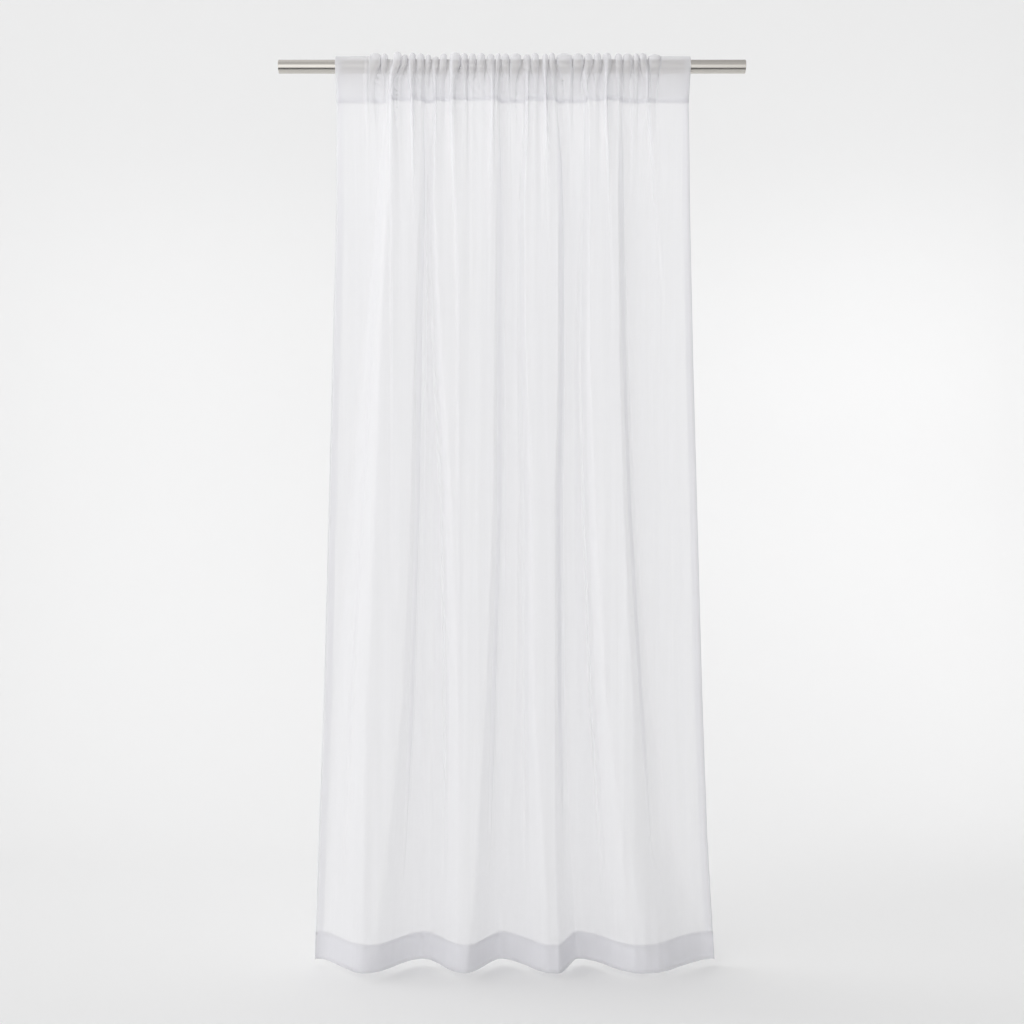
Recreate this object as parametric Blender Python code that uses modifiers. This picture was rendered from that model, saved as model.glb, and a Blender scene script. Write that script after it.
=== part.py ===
"""A sheer voile curtain gathered on a plain round rod that runs through its top hem.

Units are metres. The origin is the middle of the rod's axis, +X runs along the rod to the
right, +Z is up, and the curtain's face looks along -Y. A level is a distance below that axis.
"""

from math import cos, pi
from typing import NamedTuple

import bmesh
import bpy
import numpy as np

# The rod
ROD_LENGTH = 1.226
ROD_DIAMETER = 0.035
ROD_RADIUS = ROD_DIAMETER / 2
ROD_EDGE = 0.0008
ROD_SIDES = 48

# The cloth
VOILE_THICKNESS = 0.0012
HEM_THICKNESS = 0.0020
SIDE_HEM = 0.020
BOTTOM_HEM = 0.073
HEM_LEVEL = 2.365
HEM_TOP_LEVEL = HEM_LEVEL - BOTTOM_HEM
HEM_STEP = 0.004
SEAM_LEVEL = 0.095

# The pocket lies on the rod between its ruffles, on the middles of the flat steps of its turn
POCKET_STEPS = 6
SEAT_GAP = 0.0003
SEAT_RADIUS = (ROD_RADIUS + SEAT_GAP + VOILE_THICKNESS / 2) / cos(pi / 2 / POCKET_STEPS)
VALLEY_LIFT = SEAT_RADIUS - ROD_RADIUS

# How the pocket stands off the rod elsewhere, and how it closes to its seam
POCKET_GAP = 0.0026
FLAT_LIFT = 0.0085
POCKET_TAPER = 1.5

# The ruffles stand out less in front and behind than above the rod
RUFFLE_FRONT_SHARE = 0.75
RUFFLE_LEVELS = (0.0, 0.05, 0.10, 0.20, 0.45)
RUFFLE_SHARES = (1.0, 0.60, 0.36, 0.14, 0.0)

# The levels at which the folds and the side edges are set out
LEVELS = (0.0, 0.10, 0.35, 0.75, 1.15, 1.65, 2.05, HEM_LEVEL)
LEFT_EDGE = (-0.462, -0.462, -0.466, -0.478, -0.488, -0.501, -0.516, -0.526)
RIGHT_EDGE = (0.467, 0.465, 0.472, 0.482, 0.493, 0.507, 0.522, 0.541)
FOLD_DEPTH = (0.0, 0.032, 0.060, 0.079, 0.083, 0.091, 0.099, 0.105)
SOFT_LEVELS = (0.10, 0.75, 1.65, HEM_LEVEL)

# A flank's width is its steep part, and this times it is the whole turn
FLANK_SPREAD = 1.3


class Flank(NamedTuple):
    """One side of a hanging fold: turn is +1 where it comes forward and -1 where it goes back."""
    turn: int
    middle: tuple
    width: tuple


FLANKS = (
    Flank(+1, (-0.318, -0.324, -0.342, -0.370, -0.392, -0.423, -0.438, -0.452),
          (0.020, 0.050, 0.080, 0.110)),
    Flank(-1, (-0.232, -0.232, -0.232, -0.241, -0.247, -0.262, -0.279, -0.308),
          (0.010, 0.020, 0.034, 0.105)),
    Flank(+1, (-0.206, -0.203, -0.216, -0.204, -0.184, -0.174, -0.177, -0.182),
          (0.009, 0.040, 0.060, 0.090)),
    Flank(-1, (-0.033, -0.033, -0.032, -0.032, -0.032, -0.047, -0.056, -0.074),
          (0.010, 0.022, 0.034, 0.075)),
    Flank(+1, (0.040, 0.037, 0.024, 0.026, 0.035, 0.034, 0.037, 0.040),
          (0.009, 0.018, 0.040, 0.105)),
    Flank(-1, (0.106, 0.118, 0.129, 0.131, 0.124, 0.126, 0.134, 0.149),
          (0.010, 0.018, 0.024, 0.045)),
    Flank(+1, (0.190, 0.196, 0.193, 0.184, 0.192, 0.210, 0.234, 0.255),
          (0.009, 0.030, 0.060, 0.115)),
    Flank(-1, (0.286, 0.287, 0.287, 0.295, 0.309, 0.339, 0.366, 0.446),
          (0.012, 0.026, 0.044, 0.146)),
)


class Pleat(NamedTuple):
    """One small ridge that starts at the rod, with its crest at three levels and its two sides."""
    rod: float
    seam: float
    low: float
    reach: float
    left: float
    right: float
    height: float


PLEAT_LEVELS = (0.0, 0.10, 0.60)
PLEATS = (
    Pleat(-0.381, -0.381, -0.383, 0.30, 0.010, 0.022, 0.004),
    Pleat(-0.316, -0.319, -0.313, 1.60, 0.007, 0.024, 0.008),
    Pleat(-0.278, -0.276, -0.286, 0.55, 0.022, 0.012, -0.006),
    Pleat(-0.270, -0.260, -0.251, 0.60, 0.006, 0.018, 0.009),
    Pleat(-0.176, -0.175, -0.181, 0.55, 0.014, 0.018, -0.007),
    Pleat(-0.158, -0.158, -0.140, 2.10, 0.008, 0.034, 0.009),
    Pleat(-0.117, -0.111, -0.110, 1.40, 0.010, 0.010, -0.004),
    Pleat(-0.052, -0.049, -0.061, 0.80, 0.010, 0.018, 0.006),
    Pleat(-0.006, -0.008, -0.010, 0.40, 0.009, 0.014, 0.004),
    Pleat(0.076, 0.078, 0.072, 0.60, 0.018, 0.008, -0.008),
    Pleat(0.084, 0.090, 0.099, 0.70, 0.006, 0.020, 0.009),
    Pleat(0.153, 0.150, 0.160, 0.45, 0.012, 0.016, 0.005),
    Pleat(0.234, 0.232, 0.222, 0.55, 0.018, 0.010, -0.007),
    Pleat(0.246, 0.246, 0.262, 0.80, 0.006, 0.022, 0.009),
    Pleat(0.312, 0.314, 0.316, 0.45, 0.007, 0.014, 0.006),
    Pleat(0.334, 0.334, 0.330, 0.50, 0.010, 0.014, -0.005),
    Pleat(0.352, 0.359, 0.402, 0.85, 0.006, 0.026, 0.009),
)


class Ruffle(NamedTuple):
    """One ruffle on the rod: its middle, its width and how high it stands above the rod."""
    middle: float
    width: float
    lift: float


RUFFLES = (
    Ruffle(-0.358, 0.030, 0.0168), Ruffle(-0.334, 0.016, 0.0152), Ruffle(-0.300, 0.022, 0.0200),
    Ruffle(-0.281, 0.016, 0.0134), Ruffle(-0.261, 0.018, 0.0178), Ruffle(-0.239, 0.018, 0.0160),
    Ruffle(-0.219, 0.014, 0.0134), Ruffle(-0.200, 0.016, 0.0080), Ruffle(-0.179, 0.018, 0.0160),
    Ruffle(-0.149, 0.029, 0.0184), Ruffle(-0.125, 0.018, 0.0168), Ruffle(-0.104, 0.019, 0.0160),
    Ruffle(-0.081, 0.021, 0.0168), Ruffle(-0.056, 0.021, 0.0142), Ruffle(-0.036, 0.013, 0.0168),
    Ruffle(-0.017, 0.021, 0.0152), Ruffle(0.010, 0.029, 0.0160), Ruffle(0.039, 0.019, 0.0134),
    Ruffle(0.060, 0.021, 0.0168), Ruffle(0.087, 0.015, 0.0152), Ruffle(0.105, 0.016, 0.0176),
    Ruffle(0.137, 0.042, 0.0160), Ruffle(0.173, 0.028, 0.0160), Ruffle(0.200, 0.021, 0.0158),
    Ruffle(0.224, 0.019, 0.0176), Ruffle(0.249, 0.022, 0.0176), Ruffle(0.279, 0.018, 0.0160),
    Ruffle(0.303, 0.024, 0.0158), Ruffle(0.325, 0.015, 0.0160), Ruffle(0.343, 0.019, 0.0168),
    Ruffle(0.374, 0.034, 0.0132),
)
RUFFLED_FROM = RUFFLES[0].middle - RUFFLES[0].width / 2
RUFFLED_TO = RUFFLES[-1].middle + RUFFLES[-1].width / 2
FLAT_BLEND = 0.012
RUFFLE_ROUNDNESS = 0.8

# The grid of the cloth: its threads across each ruffle and flat end, and its rows down the drop
RUFFLE_THREADS = (0.0, 0.25, 0.50, 0.75)
FLAT_THREADS = 4
HEADER_LEVELS = (0.022, 0.056, SEAM_LEVEL)
HANGING_LEVELS = (0.15, 0.28, 0.55, 0.95, 1.45, 2.00,
                  HEM_TOP_LEVEL - HEM_STEP, HEM_TOP_LEVEL, HEM_LEVEL)
SAMPLES = 4001


def smooth(t):
    """Go from 0 to 1 with level ends as t does."""
    t = np.clip(t, 0.0, 1.0)
    return t * t * (3 - 2 * t)


def at_level(level, values, levels=LEVELS):
    """Read one of the tables at a level."""
    return float(np.interp(level, levels, values))


def hanging_folds(x, level):
    """Share of the fold depth that the cloth stands forward, from 0 behind to 1 in front."""
    share = np.zeros_like(x)
    for flank in FLANKS:
        middle = at_level(level, flank.middle)
        width = at_level(level, flank.width, SOFT_LEVELS)
        share += flank.turn * smooth((x - middle) / (FLANK_SPREAD * width) + 0.5)
    return share


def pleats(x, level):
    """How far the small pleats stand forward."""
    rise = np.zeros_like(x)
    for pleat in PLEATS:
        crest = at_level(level, (pleat.rod, pleat.seam, pleat.low), PLEAT_LEVELS)
        side = np.where(x < crest, pleat.left, pleat.right)
        fade = smooth(level / SEAM_LEVEL) * (1 - smooth(level / pleat.reach))
        rise += fade * pleat.height * (1 - smooth(np.abs(x - crest) / side))
    return rise


def ruffle_lift(x):
    """How far the top of the pocket stands above the rod."""
    inside = smooth((x - RUFFLED_FROM) / FLAT_BLEND) * smooth((RUFFLED_TO - x) / FLAT_BLEND)
    lift = FLAT_LIFT + (VALLEY_LIFT - FLAT_LIFT) * inside
    for ruffle in RUFFLES:
        t = np.clip(np.abs(x - ruffle.middle) / (ruffle.width / 2), 0.0, 1.0)
        dome = np.cos(pi / 2 * t) ** RUFFLE_ROUNDNESS
        lift = np.maximum(lift, VALLEY_LIFT + (ruffle.lift - VALLEY_LIFT) * dome)
    return lift


def ruffle_front(x):
    """How far the ruffles stand out in front of the pocket's flat face."""
    return RUFFLE_FRONT_SHARE * (ruffle_lift(x) - VALLEY_LIFT)


def front_face(x, level):
    """Depth of the front layer: towards the viewer is negative."""
    closing = 1 - min(level / SEAM_LEVEL, 1.0) ** POCKET_TAPER
    pocket = (ROD_RADIUS + POCKET_GAP) * closing
    ruffles = ruffle_front(x) * at_level(level, RUFFLE_SHARES, RUFFLE_LEVELS)
    folds = at_level(level, FOLD_DEPTH) * (hanging_folds(x, level) - 0.5)
    return -(pocket + ruffles + folds + pleats(x, level))


def back_face(x, level):
    """Depth of the turned-over layer, which meets the front layer at the seam."""
    closing = 1 - (level / SEAM_LEVEL) ** POCKET_TAPER
    return front_face(x, level) + 2 * closing * (ROD_RADIUS + POCKET_GAP + ruffle_front(x))


def run_across(level):
    """Places across the hung panel at a level, and the cloth's own run from its edge to each."""
    x = np.linspace(at_level(level, LEFT_EDGE), at_level(level, RIGHT_EDGE), SAMPLES)
    pieces = np.hypot(np.diff(x), np.diff(front_face(x, level)))
    return x, np.concatenate(([0.0], np.cumsum(pieces)))


def threads_at(level, cloth):
    """Place each thread at a level, so that the cloth between two threads keeps its share."""
    x, run = run_across(level)
    return np.interp(cloth * run[-1], run, x)


def cloth_threads():
    """Share of the cloth's width at each thread of the grid."""
    places = [LEFT_EDGE[0], LEFT_EDGE[0] + SIDE_HEM]
    places += list(np.linspace(places[-1], RUFFLED_FROM, FLAT_THREADS)[1:-1])
    for ruffle in RUFFLES:
        places += [ruffle.middle + (share - 0.5) * ruffle.width for share in RUFFLE_THREADS]
    places += list(np.linspace(RUFFLED_TO, RIGHT_EDGE[0] - SIDE_HEM, FLAT_THREADS))
    places.append(RIGHT_EDGE[0])
    x, run = run_across(0.0)
    return np.interp(sorted(places), x, run) / run[-1]


def pocket_row(x, turn):
    """Points over the rod: turn is 1 behind it, 0.5 on top and 0 in front."""
    reach = ROD_RADIUS + POCKET_GAP + ruffle_front(x)
    height = ROD_RADIUS + ruffle_lift(x)
    return x, -reach * np.cos(pi * turn), height * np.sin(pi * turn)


def cloth_rows(cloth):
    """Rows of points from the seam up behind the rod, over it and down the front to the hem."""
    rows = []
    for level in reversed(HEADER_LEVELS):
        x = threads_at(level, cloth)
        rows.append((x, back_face(x, level), np.full_like(x, -level)))
    rod_x = threads_at(0.0, cloth)
    rows += [pocket_row(rod_x, 1 - step / POCKET_STEPS) for step in range(POCKET_STEPS + 1)]
    for level in HEADER_LEVELS + HANGING_LEVELS:
        x = threads_at(level, cloth)
        rows.append((x, front_face(x, level), np.full_like(x, -level)))
    return rows


def principled(name, colour, roughness, metallic=0.0):
    """A plain material with one colour."""
    material = bpy.data.materials.new(name)
    material.use_nodes = True
    shader = material.node_tree.nodes["Principled BSDF"]
    shader.inputs["Base Color"].default_value = (*colour, 1.0)
    shader.inputs["Roughness"].default_value = roughness
    shader.inputs["Metallic"].default_value = metallic
    material.diffuse_color = (*colour, 1.0)
    return material


def build_curtain(collection):
    """One sheet of voile, thicker at its hems, closed into a pocket round the rod."""
    cloth = cloth_threads()
    rows = cloth_rows(cloth)
    bm = bmesh.new()
    bmesh.ops.create_grid(bm, x_segments=len(cloth) - 1, y_segments=len(rows) - 1, size=0.5)
    layer = bm.verts.layers.deform.verify()
    for vert in bm.verts:
        column = round((vert.co.x + 0.5) * (len(cloth) - 1))
        row = round((vert.co.y + 0.5) * (len(rows) - 1))
        x, y, z = rows[row]
        vert.co = (x[column], y[column], z[column])
        side = column < 2 or column > len(cloth) - 3
        bottom = -z[column] > HEM_TOP_LEVEL - HEM_STEP / 2
        vert[layer][0] = 1.0 if side or bottom else 0.0
    bmesh.ops.remove_doubles(bm, verts=bm.verts, dist=1e-5)
    bmesh.ops.recalc_face_normals(bm, faces=bm.faces)
    mesh = bpy.data.meshes.new("curtain")
    bm.to_mesh(mesh)
    bm.free()
    mesh.shade_smooth()
    curtain = bpy.data.objects.new("curtain", mesh)
    collection.objects.link(curtain)
    curtain.vertex_groups.new(name="hems")
    thick = curtain.modifiers.new("Cloth thickness", "SOLIDIFY")
    thick.solidify_mode = "NON_MANIFOLD"
    thick.nonmanifold_thickness_mode = "FIXED"
    thick.nonmanifold_merge_threshold = 0.00001
    thick.thickness = HEM_THICKNESS
    thick.offset = 0.0
    thick.vertex_group = "hems"
    thick.thickness_vertex_group = VOILE_THICKNESS / HEM_THICKNESS
    curtain.data.materials.append(principled("voile", (0.86, 0.86, 0.88), 0.9))
    return curtain


def build_rod(collection):
    """The plain round rod."""
    bpy.ops.mesh.primitive_cylinder_add(vertices=ROD_SIDES, radius=ROD_RADIUS, depth=ROD_LENGTH,
                                        location=(0, 0, 0), rotation=(0, pi / 2, 0))
    rod = bpy.context.object
    rod.name = "rod"
    for owner in rod.users_collection:
        owner.objects.unlink(rod)
    collection.objects.link(rod)
    rod.data.shade_smooth()
    edge = rod.modifiers.new("Broken end edges", "BEVEL")
    edge.width = ROD_EDGE
    edge.segments = 2
    edge.limit_method = "ANGLE"
    rod.data.materials.append(principled("brushed steel", (0.56, 0.54, 0.51), 0.35, 1.0))
    return rod


def main():
    for old in list(bpy.data.objects):
        bpy.data.objects.remove(old, do_unlink=True)
    collection = bpy.data.collections.new("sheer_voile_curtain")
    bpy.context.scene.collection.children.link(collection)
    build_curtain(collection)
    build_rod(collection)


main()
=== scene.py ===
"""The looks of a sheer voile curtain gathered on a round rod.

Units are metres, in the frame of the part: the origin is the middle of the rod's axis, +X runs
along the rod to the right, +Z is up and the curtain's face looks along -Y. A level is a distance
below the rod's axis. The cloth is one sheet that is followed along two ways: across, from one
raw side edge to the other, and along, from the raw edge of the top hem to that of the bottom hem.
"""

from math import cos, pi, radians, sin
from typing import NamedTuple

import bmesh
import bpy
import numpy as np
from bpy.props import FloatProperty, FloatVectorProperty, PointerProperty
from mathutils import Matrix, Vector


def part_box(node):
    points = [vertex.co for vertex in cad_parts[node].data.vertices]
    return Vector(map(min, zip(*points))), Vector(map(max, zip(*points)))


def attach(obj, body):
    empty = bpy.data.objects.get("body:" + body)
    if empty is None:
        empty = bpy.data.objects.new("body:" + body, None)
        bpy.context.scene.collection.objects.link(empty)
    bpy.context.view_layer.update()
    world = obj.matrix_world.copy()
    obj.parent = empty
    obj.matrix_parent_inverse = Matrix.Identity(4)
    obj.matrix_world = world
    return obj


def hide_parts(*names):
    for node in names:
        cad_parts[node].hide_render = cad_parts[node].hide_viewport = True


bl_info = {
    "name": "Sheer voile curtain",
    "version": (1, 0, 0),
    "blender": (4, 5, 0),
    "location": "3D View > Sidebar > Curtain",
    "description": "Hangs a gathered voile curtain on its rod",
    "category": "Add Mesh",
}

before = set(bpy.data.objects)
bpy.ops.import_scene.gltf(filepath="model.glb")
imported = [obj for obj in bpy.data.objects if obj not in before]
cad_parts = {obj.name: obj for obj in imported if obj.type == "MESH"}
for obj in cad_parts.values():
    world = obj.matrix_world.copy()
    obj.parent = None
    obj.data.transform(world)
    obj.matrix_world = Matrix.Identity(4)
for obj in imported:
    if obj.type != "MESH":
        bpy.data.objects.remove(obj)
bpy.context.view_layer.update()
ROD_LOW, ROD_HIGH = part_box("rod")
CLOTH_LOW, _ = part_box("curtain")
ROD_RADIUS = (ROD_HIGH.z - ROD_LOW.z) / 2

# Levels of the cloth's own lines
HEM_LEVEL = 2.365
SEAM_LEVEL = 0.095

# The levels at which the folds and the side edges are set out
LEVELS = (0.0, 0.10, 0.35, 0.75, 1.15, 1.65, 2.05, HEM_LEVEL)
LEFT_EDGE = (-0.462, -0.462, -0.466, -0.478, -0.488, -0.501, -0.516, -0.526)
RIGHT_EDGE = (0.467, 0.465, 0.472, 0.482, 0.493, 0.507, 0.522, 0.541)
FOLD_DEPTH = (0.0, 0.022, 0.060, 0.079, 0.083, 0.091, 0.099, 0.105)
FOLD_BACK = (0.15, 0.15, 0.5, 0.5, 0.5, 0.5, 0.5, 0.5)

# The levels at which the widths of the flanks are set out
SOFT_LEVELS = (0.10, 0.75, 1.65, HEM_LEVEL)

# How the pocket stands off the rod, and how it closes to its seam
SEAT_GAP = 0.0006
POCKET_GAP = 0.0026
FLAT_LIFT = 0.0085
POCKET_TAPER = 1.5
LAYER_GAP = 0.0011

# The ruffles stand out less in front and behind than above the rod, and fade below it
RUFFLE_FRONT_SHARE = 0.75
RUFFLE_LEVELS = (0.0, 0.05, 0.10, 0.20, 0.45)
RUFFLE_SHARES = (1.0, 0.60, 0.36, 0.14, 0.0)
RUFFLE_ROUNDNESS = 0.8
FLAT_BLEND = 0.012

# How wide the head of a ruffle bulges, how far its foot is pinched and how far it leans
GATHER_LEVELS = (0.0, 0.020, 0.045, SEAM_LEVEL, 0.20, 0.45)
GATHER_HEADS = (1.60, 1.35, 0.85, 0.75, 0.85, 1.0)
GATHER_PINCHES = (0.60, 0.55, 0.40, 0.30, 0.15, 0.0)
GATHER_LEANS = (0.0, 0.45, 0.90, 1.0, 0.6, 0.0)
SETTLE_LEVEL = 0.050

# The cloth is bunched into several layers along the pleats and round the rims of the ruffles
STEM_WIDTH = 0.0065
STEM_HEIGHT = 0.009
RIM_SHARE = 0.6
RIM_PLACE = 0.84
RIM_WIDTH = 0.22

# Points at which a row is measured before its threads are placed
SAMPLES = 6001

# A flank's width is its steep part, and this times it is the whole turn
FLANK_SPREAD = 1.3

# The crease in the middle of a flank laps over itself, less at the top and above the hem
CREASE_HALF = 0.0075
CREASE_LEVELS = (0.10, 0.25, 1.75, 2.20)
CREASE_SHARES = (0.0, 1.0, 1.0, 0.0)


# Half the width of the groove that runs down the middle of some flanks
GROOVE_HALF = 0.009


class Flank(NamedTuple):
    """One side of a hanging fold: turn is +1 where it comes forward and -1 where it goes back.

    lap is how strongly the crease in its middle laps over itself, and groove is the depth of the
    groove there as a share of the fold's depth.
    """
    turn: int
    lap: float
    groove: float
    middle: tuple
    width: tuple


FLANKS = (
    Flank(+1, 1.8, 0.0, (-0.318, -0.324, -0.342, -0.370, -0.392, -0.423, -0.438, -0.452),
          (0.020, 0.050, 0.080, 0.110)),
    Flank(-1, 3.6, 0.0, (-0.232, -0.232, -0.232, -0.241, -0.247, -0.262, -0.279, -0.308),
          (0.010, 0.020, 0.034, 0.105)),
    Flank(+1, 0.0, 0.18, (-0.206, -0.203, -0.216, -0.204, -0.184, -0.174, -0.177, -0.182),
          (0.009, 0.040, 0.060, 0.090)),
    Flank(-1, 3.4, 0.0, (-0.033, -0.033, -0.032, -0.032, -0.032, -0.047, -0.056, -0.074),
          (0.010, 0.022, 0.034, 0.075)),
    Flank(+1, 0.0, 0.18, (0.040, 0.037, 0.024, 0.026, 0.035, 0.034, 0.037, 0.040),
          (0.009, 0.018, 0.040, 0.105)),
    Flank(-1, 3.7, 0.0, (0.106, 0.118, 0.129, 0.131, 0.124, 0.126, 0.134, 0.149),
          (0.010, 0.018, 0.024, 0.045)),
    Flank(+1, 0.0, 0.20, (0.190, 0.196, 0.193, 0.184, 0.192, 0.210, 0.234, 0.255),
          (0.009, 0.030, 0.060, 0.115)),
    Flank(-1, 3.2, 0.0, (0.286, 0.287, 0.287, 0.295, 0.309, 0.339, 0.366, 0.446),
          (0.012, 0.026, 0.044, 0.146)),
)


class Pleat(NamedTuple):
    """One small ridge from the rod down, or a trough where its height is below zero.

    rod, seam and low are the places of its crest at PLEAT_LEVELS, reach is the level where it ends,
    and left and right are the widths of its two sides.
    """
    rod: float
    seam: float
    low: float
    reach: float
    left: float
    right: float
    height: float


PLEAT_LEVELS = (0.0, 0.10, 0.60)
PLEAT_START = 0.06
PLEAT_FADES = (0.12, 0.35)
PLEAT_SHARES = (1.0, 0.38)
PLEATS = (
    Pleat(-0.381, -0.381, -0.383, 0.30, 0.010, 0.022, 0.004),
    Pleat(-0.316, -0.319, -0.313, 1.60, 0.007, 0.024, 0.008),
    Pleat(-0.278, -0.276, -0.286, 0.55, 0.022, 0.012, -0.006),
    Pleat(-0.270, -0.260, -0.251, 0.60, 0.006, 0.018, 0.009),
    Pleat(-0.206, -0.201, -0.198, 0.40, 0.006, 0.014, 0.006),
    Pleat(-0.176, -0.175, -0.181, 0.55, 0.014, 0.018, -0.007),
    Pleat(-0.158, -0.158, -0.140, 2.10, 0.008, 0.034, 0.009),
    Pleat(-0.117, -0.111, -0.110, 1.40, 0.010, 0.010, -0.004),
    Pleat(-0.052, -0.049, -0.061, 0.80, 0.010, 0.018, 0.006),
    Pleat(-0.006, -0.008, -0.010, 0.40, 0.009, 0.014, 0.004),
    Pleat(0.040, 0.037, 0.034, 0.35, 0.006, 0.018, 0.006),
    Pleat(0.076, 0.078, 0.072, 0.60, 0.018, 0.008, -0.008),
    Pleat(0.084, 0.090, 0.099, 0.70, 0.006, 0.020, 0.009),
    Pleat(0.153, 0.150, 0.160, 0.45, 0.012, 0.016, 0.005),
    Pleat(0.184, 0.195, 0.198, 0.35, 0.006, 0.016, 0.006),
    Pleat(0.234, 0.232, 0.222, 0.55, 0.018, 0.010, -0.007),
    Pleat(0.246, 0.246, 0.262, 0.80, 0.006, 0.022, 0.009),
    Pleat(0.312, 0.314, 0.316, 0.45, 0.007, 0.014, 0.006),
    Pleat(0.334, 0.334, 0.330, 0.50, 0.010, 0.014, -0.005),
    Pleat(0.352, 0.359, 0.402, 0.85, 0.006, 0.026, 0.009),
)


class Ruffle(NamedTuple):
    """One ruffle: its middle, width and height on the rod, and its place and share below it."""
    middle: float
    width: float
    lift: float
    seam: float
    kept: float


RUFFLES = (
    Ruffle(-0.358, 0.030, 0.0168, -0.370, 0.6),
    Ruffle(-0.334, 0.016, 0.0152, -0.338, 0.3),
    Ruffle(-0.300, 0.022, 0.0200, -0.316, 1.1),
    Ruffle(-0.281, 0.016, 0.0134, -0.296, 0.2),
    Ruffle(-0.261, 0.018, 0.0178, -0.261, 1.1),
    Ruffle(-0.239, 0.018, 0.0160, -0.241, 0.2),
    Ruffle(-0.219, 0.014, 0.0134, -0.223, 0.3),
    Ruffle(-0.200, 0.016, 0.0080, -0.203, 1.6),
    Ruffle(-0.179, 0.018, 0.0160, -0.183, 0.2),
    Ruffle(-0.149, 0.029, 0.0184, -0.157, 1.1),
    Ruffle(-0.125, 0.018, 0.0168, -0.122, 0.7),
    Ruffle(-0.104, 0.019, 0.0160, -0.107, 0.2),
    Ruffle(-0.081, 0.021, 0.0168, -0.079, 0.2),
    Ruffle(-0.056, 0.021, 0.0142, -0.052, 1.2),
    Ruffle(-0.036, 0.013, 0.0168, -0.037, 0.6),
    Ruffle(-0.017, 0.021, 0.0152, -0.013, 0.2),
    Ruffle(0.010, 0.029, 0.0160, 0.001, 0.5),
    Ruffle(0.039, 0.019, 0.0134, 0.037, 1.2),
    Ruffle(0.060, 0.021, 0.0168, 0.062, 0.3),
    Ruffle(0.087, 0.015, 0.0152, 0.086, 1.1),
    Ruffle(0.105, 0.016, 0.0176, 0.113, 0.5),
    Ruffle(0.137, 0.042, 0.0160, 0.147, 0.4),
    Ruffle(0.173, 0.028, 0.0160, 0.170, 0.1),
    Ruffle(0.200, 0.021, 0.0158, 0.190, 1.1),
    Ruffle(0.224, 0.019, 0.0176, 0.221, 0.3),
    Ruffle(0.249, 0.022, 0.0176, 0.243, 1.1),
    Ruffle(0.279, 0.018, 0.0160, 0.281, 0.6),
    Ruffle(0.303, 0.024, 0.0158, 0.300, 0.2),
    Ruffle(0.325, 0.015, 0.0160, 0.327, 0.5),
    Ruffle(0.343, 0.019, 0.0168, 0.352, 1.1),
    Ruffle(0.374, 0.034, 0.0132, 0.372, 0.2),
)
RUFFLED_FROM = RUFFLES[0].middle - RUFFLES[0].width / 2
RUFFLED_TO = RUFFLES[-1].middle + RUFFLES[-1].width / 2


class CurtainSettings(bpy.types.PropertyGroup):
    """Sizes and colours of the cloth, its sewing and the rod."""

    width: FloatProperty(
        name="Finished width", description="Width of the flat panel between its side edges",
        default=1.42, min=1.0, max=2.0, unit="LENGTH")
    side_hem: FloatProperty(
        name="Side hem", description="Width of the turned hem at each side",
        default=0.020, min=0.01, max=0.04, unit="LENGTH")
    bottom_hem: FloatProperty(
        name="Bottom hem", description="Height of the turned hem at the bottom",
        default=0.073, min=0.03, max=0.15, unit="LENGTH")
    seam_allowance: FloatProperty(
        name="Seam allowance", description="Cloth turned in under the edge of the top hem",
        default=0.012, min=0.005, max=0.02, unit="LENGTH")
    voile_colour: FloatVectorProperty(
        name="Voile", description="Colour of the yarn",
        default=(0.886, 0.884, 0.907), min=0.0, max=1.0, subtype="COLOR")
    cover: FloatProperty(
        name="Cover", description="Share of the light path that the yarns fill",
        default=0.64, min=0.3, max=1.0, subtype="FACTOR")
    bunched_cover: FloatProperty(
        name="Cover in the gathers", description="Share that is added where the cloth is bunched",
        default=0.34, min=0.0, max=0.4, subtype="FACTOR")
    glow: FloatProperty(
        name="Glow", description="Share of the cloth's light that comes through from behind",
        default=0.45, min=0.0, max=1.0, subtype="FACTOR")
    yarn_pitch: FloatProperty(
        name="Yarn pitch", description="Distance between two yarns of the weave",
        default=0.00055, min=0.0002, max=0.002, precision=5, unit="LENGTH")
    stitch_length: FloatProperty(
        name="Stitch", description="Length from one stitch to the next",
        default=0.0030, min=0.001, max=0.006, precision=4, unit="LENGTH")
    thread_radius: FloatProperty(
        name="Thread radius", description="Half the thickness of the sewing thread",
        default=0.00016, min=0.0001, max=0.0005, precision=5, unit="LENGTH")
    metal_colour: FloatVectorProperty(
        name="Rod", description="Colour of the rod's metal",
        default=(0.63, 0.605, 0.565), min=0.0, max=1.0, subtype="COLOR")


class StageSettings(bpy.types.PropertyGroup):
    """Camera, floor and backdrop."""

    distance: FloatProperty(
        name="Camera distance", description="From the camera to the rod's plane",
        default=3.2, min=1.0, max=10.0, unit="LENGTH")
    eye_level: FloatProperty(
        name="Camera level", description="How far the level camera is below the rod's axis",
        default=1.171, min=0.0, max=2.0, unit="LENGTH")
    frame_width: FloatProperty(
        name="Frame width", description="Width that the picture shows at the rod's plane",
        default=2.693, min=1.0, max=5.0, unit="LENGTH")
    floor_gap: FloatProperty(
        name="Hem above floor", description="Gap from the hem to the floor",
        default=0.018, min=0.0, max=0.1, unit="LENGTH")
    backdrop_colour: FloatVectorProperty(
        name="Backdrop", description="Colour of the floor and backdrop",
        default=(0.87, 0.87, 0.87), min=0.0, max=1.0, subtype="COLOR")


def smooth(t):
    """Go from 0 to 1 with level ends as t does."""
    t = np.clip(t, 0.0, 1.0)
    return t * t * (3 - 2 * t)


def at_level(level, values, levels=LEVELS):
    """Read one of the tables at a level."""
    return float(np.interp(level, levels, values))


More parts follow.
